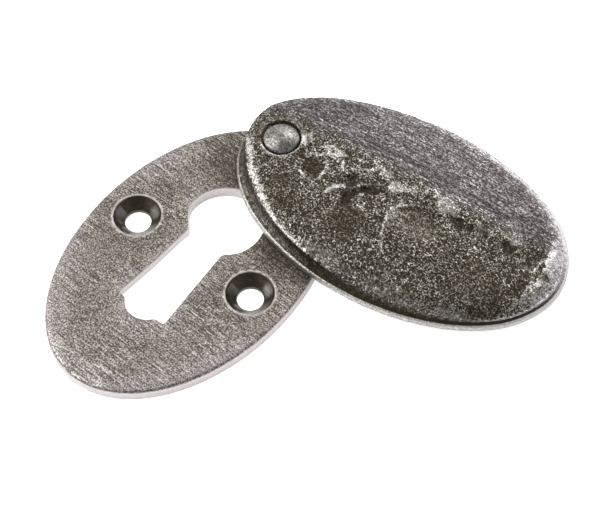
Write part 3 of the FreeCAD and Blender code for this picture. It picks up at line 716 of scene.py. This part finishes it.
def plate_top(points, outer, keyhole):
    """Height of the plate's front: a little wavy, and soft towards its edge and the keyhole."""
    x, y = points[:, 0], points[:, 1]
    from_edge = nearest_distance(points, outer)
    from_key = nearest_distance(points, keyhole)
    wave = PLATE_WAVE * rough(x / 9, y / 9, 201, 2)
    pillow = PLATE_PILLOW * (1 - ease(0, PILLOW_WIDTH, from_edge)) ** 2
    dip = 0.05 * (1 - ease(0, 0.9, from_key)) ** 2
    height = PLATE_THICKNESS - 0.04 + np.minimum(wave, 0.02) - pillow - dip
    burr = np.zeros_like(x)
    for side in (-1, 1):
        around = np.arctan2(y, x - side * SCREW_ACROSS)
        gap = np.hypot(x - side * SCREW_ACROSS, y) + 0.06 * rough(x / 0.9, y / 0.9, 221, 2)
        gap = gap - 0.05 * np.sin(BURR_PIPS * around + side)
        ring = np.exp(-((gap - COUNTERSINK_RADIUS - 0.14) / (BURR_WIDTH / 2.4)) ** 2)
        burr += ring * (0.85 + 0.5 * waves(x / 0.7, y / 0.7, 211))
    height += BURR_HEIGHT * burr
    from_sink = np.hypot(np.abs(x) - SCREW_ACROSS, y) - COUNTERSINK_RADIUS
    dull_and_shade = 0.8 * (1 - ease(0.6, 3.4, from_sink))
    own = (points - cover_centre[:2]) @ turn
    from_cover_edge = (np.hypot(own[:, 0] / HALF_WIDTH, own[:, 1] / HALF_LENGTH) - 1) * HALF_WIDTH
    dull_and_shade = np.maximum(dull_and_shade, 0.58 * (1 - ease(4.0, 9.0, np.abs(y))))
    # Painted shadow of the cover: much darker within 6 mm of the cover's outline, where the cover lies.
    dull_and_shade = np.maximum(dull_and_shade, 2.6 * (1 - ease(0.0, 6.0, from_cover_edge)))
    looks = {"edge": from_edge, "key": from_key, "wall": np.zeros_like(x), "burr": burr, "dull_and_shade": dull_and_shade}
    return np.minimum(height, PLATE_THICKNESS + 0.02), looks


def make_plate(material):
    """The back plate with its worn edges, keyhole and burred countersinks, in place of its plain solid."""
    builder = Builder()
    outer = oval_loop(PLATE_HALF_WIDTH, PLATE_HALF_LENGTH, PLATE_POINTS)
    keyhole = keyhole_loop()
    front_edge = shifted(outer, -PLATE_EDGE_ROUND)
    front_key = shifted(keyhole, KEYHOLE_EDGE_ROUND)
    sinks = [circle_loop(side * SCREW_ACROSS, 0, COUNTERSINK_RADIUS, SINK_POINTS) for side in (-1, 1)]
    shank = circle_loop(pivot[0], pivot[1], SHANK_RADIUS + PLATE_FIT, SHANK_POINTS)
    burrs = [circle_loop(side * SCREW_ACROSS, 0, COUNTERSINK_RADIUS + out, SINK_POINTS)
             for side in (-1, 1) for out in (0.11, 0.22, 0.33, 0.46)]
    flat, faces = fill_face(front_edge, [front_key] + sinks + [shank], TOP_SPACING, burrs)
    height, looks = plate_top(flat, outer, keyhole)
    front = builder.add(np.column_stack([flat, height]))
    builder.faces += [tuple(front[i] for i in face) for face in faces]
    loops, start = [], 0
    for loop in [front_edge, front_key] + sinks + [shank]:
        loops.append(front[start:start + len(loop)])
        start += len(loop)
    values = {name: [look] for name, look in looks.items()}

    def ring_on(last, loop, z, wall, glint=0.0):
        """Adds one ring below the last and joins them."""
        ring = builder.add(np.column_stack([loop, np.broadcast_to(z, len(loop))]))
        builder.faces.extend(band(ring, last))
        # Inside the countersinks the burr values carry painted highlights.
        flags = [number * np.ones(len(loop)) for number in (wall, glint, 0)]
        gaps = [nearest_distance(loop, edge) for edge in (outer, keyhole)]
        for parts, part in zip(values.values(), gaps + flags):
            parts.append(part)
        return ring

    edge_ring, key_ring, left_ring, right_ring, shank_ring = loops
    front_z = builder.points()[edge_ring][:, 2]
    for angle in np.radians([70, 50, 30, 12, 0]):
        drop = PLATE_EDGE_ROUND * (1 - math.sin(angle))
        inset = PLATE_EDGE_ROUND * (1 - math.cos(angle))
        edge_ring = ring_on(edge_ring, shifted(outer, -inset - 0.02), front_z - drop, 1 - math.sin(angle))
    for z in (1.1, 0.6, PLATE_BACK_ROUND):
        edge_ring = ring_on(edge_ring, shifted(outer, -0.02 - 0.02 * (z == 1.1)), z, 1)
    edge_ring = ring_on(edge_ring, shifted(outer, -PLATE_BACK_ROUND), 0.0, 1)

    key_z = builder.points()[key_ring][:, 2]
    for angle in np.radians([60, 30, 0]):
        drop = KEYHOLE_EDGE_ROUND * (1 - math.sin(angle))
        inset = KEYHOLE_EDGE_ROUND * (1 - math.cos(angle))
        key_ring = ring_on(key_ring, shifted(keyhole, inset), key_z - drop, 1)
    in_slot = ease(-3.4, -1.8, -keyhole[:, 1]) * (keyhole[:, 0] < 0)
    for z, share in ((1.5, 0.0), (0.95, 0.02), (0.5, 0.5), (0.0, 1.0)):
        key_ring = ring_on(key_ring, shifted(keyhole, SLOT_UNDERCUT * share * in_slot[:, None]), z, 1)

    sink_rings = []
    for side, ring in ((-1, left_ring), (1, right_ring)):
        depth = COUNTERSINK_RADIUS - SCREW_HOLE_RADIUS
        for share in (0.03, 0.12, 0.3, 0.5, 0.7, 0.85, 0.96, 1.0):
            loop = circle_loop(side * SCREW_ACROSS, 0, COUNTERSINK_RADIUS - share * depth, SINK_POINTS)
            away = loop - (side * SCREW_ACROSS, 0)
            facets = 0.10 * waves(away[:, 0] / 1.6, away[:, 1] / 1.6, 231) * math.sin(math.pi * share)
            loop = loop + away * facets[:, None]
            around = np.degrees(np.arctan2(away[:, 1], away[:, 0]))
            # Painted highlights on the cone at fixed directions, standing in for reflections.
            glint = sum(much * np.exp(-((around - middle) / GLINT_WIDTH) ** 4) for middle, much in SINK_GLINTS)
            glint = glint * ease(0.05, 0.25, share) * (1 - ease(0.85, 1.0, share))
            ring = ring_on(ring, loop, PLATE_THICKNESS - 0.03 - share * (depth - 0.03), 2, glint)
        for z in (0.35, 0.0):
            ring = ring_on(ring, circle_loop(side * SCREW_ACROSS, 0, SCREW_HOLE_RADIUS, SINK_POINTS), z, 2)
        sink_rings.append(ring)

    shank_ring = ring_on(shank_ring, shank, TAIL_DEPTH, 1)
    tail = circle_loop(pivot[0], pivot[1], TAIL_RADIUS + PLATE_FIT, SHANK_POINTS)
    shank_ring = ring_on(shank_ring, tail, 0.0, 1)

    back_loops = [edge_ring, key_ring] + sink_rings + [shank_ring]
    all_points = builder.points()
    outlines = [all_points[ring][:, :2] for ring in back_loops]
    flat, faces = fill_face(outlines[0], outlines[1:], 1.2)
    back = builder.add(np.column_stack([flat, np.zeros(len(flat))]))
    builder.faces += [tuple(back[i] for i in reversed(face)) for face in faces]
    for parts, number in zip(values.values(), (3.0, 3.0, 0.0, 0.0, 0.3)):
        parts.append(np.full(len(flat), number))

    piece = new_piece("worn_plate", builder.points(), builder.faces, material, "plate", 32)
    for name, parts in values.items():
        add_values(piece, name, np.concatenate(parts))
    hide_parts("back_plate")


# Rivet

def make_rivet(material):
    """The domed rivet, a little out of true as hammering leaves it, in place of its plain solid."""
    low, high = [np.array(corner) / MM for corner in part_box("pivot_rivet")]
    head_base = high[2] - HEAD_HEIGHT
    rise = HEAD_HEIGHT - HEAD_LAND
    dome_radius = (HEAD_RADIUS ** 2 + rise ** 2) / (2 * rise)
    half = math.asin(HEAD_RADIUS / dome_radius)
    profile = [(TAIL_RADIUS, 0.0), (SHANK_RADIUS, TAIL_DEPTH), (SHANK_RADIUS, head_base),
               (HEAD_RADIUS - 0.1, head_base), (HEAD_RADIUS, head_base + 0.08),
               (HEAD_RADIUS, head_base + HEAD_LAND - 0.05)]
    for angle in np.linspace(half, 0, 26)[1:-1]:
        profile.append((dome_radius * math.sin(angle), high[2] - dome_radius * (1 - math.cos(angle))))
    angles = np.linspace(0, 2 * math.pi, HEAD_POINTS, endpoint=False)
    builder = Builder()
    last = None
    for radius, z in profile:
        x, y = radius * np.cos(angles), radius * np.sin(angles)
        on_dome = ease(head_base + 0.1, head_base + 0.8, np.array(z))
        dents = 0.05 * rough(x / 1.5, y / 1.5, 301, 2) * on_dome
        out = 1 - 0.012 * (1 + waves(angles * 1.5, angles * 0 + radius, 311)) * (radius > SHANK_RADIUS)
        z = z + np.minimum(dents, 0.0)
        ring = builder.add(np.stack([pivot[0] + x * out, pivot[1] + y * out, z], -1))
        if last is None:
            builder.faces.append(ring[::-1])
        else:
            builder.faces += band(last, ring)
        last = ring
    builder.faces.append(last)
    points = builder.points()
    piece = new_piece("hammered_rivet", points, builder.faces, material, "plate", 40)
    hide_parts("pivot_rivet")


# Materials

class Shader:
    """A node material, with short calls for the nodes that the finishes use."""

    def __init__(self, name):
        self.material = bpy.data.materials.new(name)
        self.material.use_nodes = True
        self.tree = self.material.node_tree
        self.surface = self.tree.nodes["Principled BSDF"]

    def node(self, kind, **settings):
        made = self.tree.nodes.new(kind)
        for key, value in settings.items():
            setattr(made, key, value)
        return made

    def link(self, source, target):
        if isinstance(source, (int, float)):
            target.default_value = source
        else:
            self.tree.links.new(source, target)

    def dress(self, **sources):
        """Gives the surface's sockets their numbers or nodes."""
        for name, source in sources.items():
            self.link(source, self.surface.inputs[name.replace("_", " ")])

    def value(self, name):
        """A number stored on each vertex."""
        return self.node("ShaderNodeAttribute", attribute_name=name).outputs["Fac"]

    def place(self, stretch=(1, 1, 1), angle=0.0):
        """The piece's own coordinates in millimetres, drawn out along axes turned by an angle."""
        coordinates = self.node("ShaderNodeTexCoord").outputs["Object"]
        mapping = self.node("ShaderNodeMapping", vector_type="TEXTURE")
        mapping.inputs["Scale"].default_value = [part * MM for part in stretch]
        mapping.inputs["Rotation"].default_value = (0, 0, angle)
        self.link(coordinates, mapping.inputs["Vector"])
        return mapping.outputs["Vector"]

    def noise(self, place, scale, detail=2.0, roughness=0.5):
        """Noise with about one swell to each scale millimetres."""
        made = self.node("ShaderNodeTexNoise")
        self.link(place, made.inputs["Vector"])
        made.inputs["Scale"].default_value = 1 / scale
        made.inputs["Detail"].default_value = detail
        made.inputs["Roughness"].default_value = roughness
        return made.outputs["Fac"]

    def centred(self, place, scale, detail=1.0, roughness=0.5):
        """Noise that goes evenly above and below 0."""
        return self.math("SUBTRACT", self.noise(place, scale, detail, roughness), 0.5)

    def math(self, operation, first, second=0.0, third=0.0):
        made = self.node("ShaderNodeMath", operation=operation)
        for source, target in zip((first, second, third), made.inputs):
            self.link(source, target)
        return made.outputs["Value"]

    def ramp(self, factor, *stops):
        """Colours or greys at places from 0 to 1."""
        made = self.node("ShaderNodeValToRGB")
        elements = made.color_ramp.elements
        while len(elements) < len(stops):
            elements.new(0.5)
        for element, (position, colour) in zip(elements, stops):
            element.position = position
            element.color = (*colour, 1.0) if isinstance(colour, tuple) else (colour, colour, colour, 1.0)
        self.link(factor, made.inputs["Fac"])
        return made.outputs["Color"]

    def mix(self, factor, first, second):
        """Mixes two colours."""
        made = self.node("ShaderNodeMix", data_type="RGBA")
        self.link(factor, made.inputs["Factor"])
        for source, target in ((first, made.inputs["A"]), (second, made.inputs["B"])):
            if isinstance(source, tuple):
                target.default_value = (*source, 1.0)
            else:
                self.link(source, target)
        return made.outputs["Result"]

    def bump(self, height, distance, strength):
        """Fine relief of a height from 0 to 1, its depth in millimetres."""
        made = self.node("ShaderNodeBump")
        made.inputs["Distance"].default_value = distance * MM
        made.inputs["Strength"].default_value = strength
        self.link(height, made.inputs["Height"])
        return made.outputs["Normal"]


def iron_finish():
    """Blackened forged iron, rubbed back to bright metal in fine worm-like specks and on its high spots."""
    shader = Shader("forged_iron")
    bright, speck, cool = shader.value("bright"), shader.value("speck"), shader.value("cool")
    place = shader.place()
    line = shader.math("ABSOLUTE", shader.centred(place, 0.50))
    line = shader.math("MAXIMUM", shader.math("MULTIPLY_ADD", line, -12.0, 0.62), -0.42)
    line = shader.math("MULTIPLY", line, shader.math("MULTIPLY_ADD", cool, -0.30, 0.66))
    fine = shader.math("MULTIPLY", shader.centred(place, 0.24), shader.math("MULTIPLY_ADD", cool, -0.5, 1.9))
    grain = shader.centred(shader.place((1.0, 2.4, 1.0), OPEN_ANGLE), 0.20)
    streaks = shader.centred(shader.place((1.0, 12.0, 1.0), OPEN_ANGLE), 0.34)
    grain = shader.math("MULTIPLY_ADD", grain, 1.75, shader.math("MULTIPLY", streaks, 1.1))
    fine = shader.math("ADD", fine, shader.math("MULTIPLY", grain, cool))
    pattern = shader.math("ADD", fine, line)
    shine = shader.math("MULTIPLY_ADD", pattern, speck, bright)
    most = shader.math("ADD", bright, shader.math("MULTIPLY_ADD", cool, -0.65, 1.0))
    shine = shader.math("MINIMUM", shine, most)
    dark_side = shader.ramp(shine, (0.0, (0.0245, 0.0185, 0.0098)), (0.3, (0.045, 0.0365, 0.0225)),
                            (0.6, (0.146, 0.136, 0.115)), (0.85, (0.325, 0.315, 0.295)),
                            (1.0, (0.56, 0.55, 0.525)))
    cool_side = shader.ramp(shine, (0.0, (0.031, 0.026, 0.023)), (0.3, (0.052, 0.0445, 0.042)),
                            (0.6, (0.096, 0.0855, 0.085)), (0.85, (0.195, 0.18, 0.181)),
                            (1.0, (0.62, 0.585, 0.6)))
    roughness = shader.ramp(shine, (0.0, 0.62), (0.5, 0.5), (1.0, 0.38))
    matt = shader.math("MULTIPLY", cool, shader.ramp(shine, (0.80, 0.0), (0.98, 0.6)))
    metal = shader.math("SUBTRACT", shader.ramp(shine, (0.0, 0.85), (0.6, 0.95)), matt)
    shader.dress(Base_Color=shader.mix(cool, dark_side, cool_side), Roughness=roughness, Metallic=metal,
                 Normal=shader.bump(pattern, 0.05, 0.7))
    return shader.material


def plate_finish():
    """Steel linished across its width, dulled and speckled, darkened by a painted shadow round the cover,
    with painted highlights in its countersinks, and worn pale along its edges.
    """
    shader = Shader("linished_steel")
    edge, key, wall, burr, dull_and_shade = [shader.value(name) for name in ("edge", "key", "wall", "burr", "dull_and_shade")]
    place = shader.place()
    lines = shader.centred(shader.place((11.0, 1.0, 1.0)), 0.23)
    dashes = shader.centred(shader.place((2.0, 1.0, 1.0)), 0.19)
    patches = shader.centred(place, 5.0, 2.0)
    lined = shader.ramp(shader.noise(place, 8.0, 1.0), (0.40, 0.35), (0.58, 1.0))
    fine = shader.centred(place, 0.21, 0.0)
    speck = shader.centred(place, 0.45, 2.0, 0.6)
    near_edge = shader.ramp(shader.math("MULTIPLY", edge, 1 / 6.0), (0.0, 1.0), (0.35, 0.55), (0.75, 0.0))
    near_key = shader.ramp(shader.math("MULTIPLY", key, 1 / 6.0), (0.0, 0.9), (0.2, 0.5), (0.55, 0.0))
    worn = shader.math("MAXIMUM", near_edge, near_key)
    lined = shader.math("MULTIPLY", lines, lined)
    tone = PLATE_TONE
    # The dull values lower the tone; round the cover's outline they are a painted shadow.
    for part, amount in ((worn, 0.14), (dull_and_shade, -0.12), (lined, 1.25), (dashes, 0.45),
                         (fine, 1.40), (speck, 0.06), (patches, 0.06)):
        tone = shader.math("MULTIPLY_ADD", part, amount, tone)
    warm = shader.ramp(tone, (0.0, (0.050, 0.043, 0.034)), (0.25, (0.105, 0.092, 0.076)),
                       (0.5, (0.215, 0.193, 0.17)), (0.75, (0.36, 0.33, 0.305)), (1.0, (0.56, 0.52, 0.49)))
    pale = shader.ramp(tone, (0.0, (0.066, 0.056, 0.052)), (0.25, (0.125, 0.110, 0.106)),
                       (0.5, (0.235, 0.212, 0.206)), (0.75, (0.38, 0.35, 0.345)), (1.0, (0.58, 0.545, 0.54)))
    colour = shader.mix(shader.math("MAXIMUM", shader.math("SUBTRACT", worn, dull_and_shade), 0.0), warm, pale)
    colour = shader.mix(shader.math("MULTIPLY", burr, 0.80), colour, (0.52, 0.475, 0.465))
    mottle = shader.math("ADD", speck, 0.5)
    sheared = shader.mix(mottle, (0.42, 0.38, 0.375), (0.62, 0.58, 0.57))
    colour = shader.mix(shader.ramp(wall, (0.3, 0.0), (0.7, 1.0)), colour, sheared)
    burnished = shader.mix(mottle, (0.024, 0.019, 0.012), (0.115, 0.100, 0.074))
    # Inside the countersinks the burr values are painted highlights that lighten the cone.
    burnished = shader.mix(burr, burnished, (0.205, 0.198, 0.176))
    in_sink = shader.math("SUBTRACT", wall, 1.0)
    colour = shader.mix(in_sink, colour, burnished)
    roughness = shader.mix(in_sink, shader.ramp(tone, (0.2, 0.55), (0.9, 0.4)), (0.33, 0.33, 0.33))
    relief = shader.math("ADD", shader.math("ADD", lines, dashes), fine)
    shader.dress(Base_Color=colour, Roughness=roughness, Metallic=0.9, Normal=shader.bump(relief, 0.03, 0.6))
    return shader.material


def rivet_finish():
    """Blackened rivet, its dome rubbed and mottled."""
    shader = Shader("rubbed_rivet")
    place = shader.place()
    mottle = shader.noise(place, 1.4, 3.0, 0.6)
    tone = shader.math("MULTIPLY_ADD", shader.centred(place, 0.26, 2.0, 0.6), 1.5, mottle)
    colour = shader.ramp(tone, (0.25, (0.080, 0.077, 0.072)), (0.5, (0.200, 0.191, 0.181)),
                         (0.8, (0.40, 0.385, 0.36)))
    shader.dress(Base_Color=colour, Roughness=shader.ramp(tone, (0.3, 0.48), (0.8, 0.34)), Metallic=0.85,
                 Normal=shader.bump(tone, 0.06, 0.5))
    return shader.material


# Camera, light and floor

def make_camera():
    """The camera at the photograph's viewing angle."""
    back = Vector((math.sin(CAMERA_AZIMUTH) * math.cos(CAMERA_ELEVATION),
                   -math.cos(CAMERA_AZIMUTH) * math.cos(CAMERA_ELEVATION),
                   math.sin(CAMERA_ELEVATION)))
    right = Vector((math.cos(CAMERA_AZIMUTH), math.sin(CAMERA_AZIMUTH), 0.0))
    up = back.cross(right)
    rolled_right = right * math.cos(CAMERA_ROLL) + up * math.sin(CAMERA_ROLL)
    rolled_up = up * math.cos(CAMERA_ROLL) - right * math.sin(CAMERA_ROLL)
    camera = bpy.data.objects.new("camera", bpy.data.cameras.new("camera"))
    camera.data.sensor_width = SENSOR_WIDTH
    camera.data.lens = FOCAL_PIXELS * SENSOR_WIDTH / IMAGE_WIDTH
    camera.data.clip_start = 0.01
    turned = Matrix((rolled_right, rolled_up, back)).transposed().to_4x4()
    camera.matrix_world = Matrix.Translation((CAMERA_TARGET + back * CAMERA_DISTANCE) * MM) @ turned
    bpy.context.scene.collection.objects.link(camera)
    bpy.context.scene.camera = camera


def make_world():
    """A pale dome, darker on the side that the photographer stands."""
    world = bpy.data.worlds.new("studio")
    world.use_nodes = True
    nodes, links = world.node_tree.nodes, world.node_tree.links
    direction = nodes.new("ShaderNodeTexCoord").outputs["Generated"]
    towards = nodes.new("ShaderNodeVectorMath")
    towards.operation = "DOT_PRODUCT"
    towards.inputs[1].default_value = DARK_SIDE
    links.new(direction, towards.inputs[0])
    ramp = nodes.new("ShaderNodeValToRGB")
    for element, position, grey in zip(ramp.color_ramp.elements, (0.35, 0.98), (0.85, 0.18)):
        element.position, element.color = position, (grey, grey, grey, 1.0)
    links.new(towards.outputs["Value"], ramp.inputs["Fac"])
    links.new(ramp.outputs["Color"], nodes["Background"].inputs["Color"])
    bpy.context.scene.world = world


def add_lamp(name, size, energy, place, aim):
    """One square soft box."""
    lamp = bpy.data.lights.new(name, "AREA")
    lamp.size = size
    lamp.energy = energy
    lamp_object = bpy.data.objects.new(name, lamp)
    lamp_object.location = place
    lamp_object.rotation_euler = (Vector(aim) - Vector(place)).to_track_quat("-Z", "Y").to_euler()
    bpy.context.scene.collection.objects.link(lamp_object)


def make_floor():
    """A white floor that keeps the object's soft shadow."""
    shader = Shader("white_floor")
    path = shader.node("ShaderNodeLightPath")
    seen = shader.math("MAXIMUM", path.outputs["Is Camera Ray"], path.outputs["Is Glossy Ray"])
    seen = shader.math("MAXIMUM", seen, path.outputs["Is Transmission Ray"])
    shader.surface.inputs["Base Color"].default_value = (0.9, 0.9, 0.9, 1.0)
    shader.surface.inputs["Roughness"].default_value = 1.0
    glow = shader.node("ShaderNodeEmission")
    shader.link(shader.math("MULTIPLY", seen, 0.8), glow.inputs["Strength"])
    both = shader.node("ShaderNodeAddShader")
    shader.link(shader.surface.outputs["BSDF"], both.inputs[0])
    shader.link(glow.outputs["Emission"], both.inputs[1])
    shader.link(both.outputs["Shader"], shader.tree.nodes["Material Output"].inputs["Surface"])
    mesh = bpy.data.meshes.new("floor")
    corners = [(x * FLOOR_REACH, y * FLOOR_REACH, 0) for x, y in ((-1, -1), (1, -1), (1, 1), (-1, 1))]
    mesh.from_pydata(corners, [], [(0, 1, 2, 3)])
    mesh.materials.append(shader.material)
    floor = bpy.data.objects.new("floor", mesh)
    floor.location.z = -0.05 * MM
    bpy.context.scene.collection.objects.link(floor)


make_plate(plate_finish())
make_cover(iron_finish())
make_rivet(rivet_finish())
make_floor()
make_world()
for lamp_name, setting in LAMPS.items():
    add_lamp(lamp_name, *setting)
make_camera()

bpy.context.scene.view_settings.view_transform = "Standard"
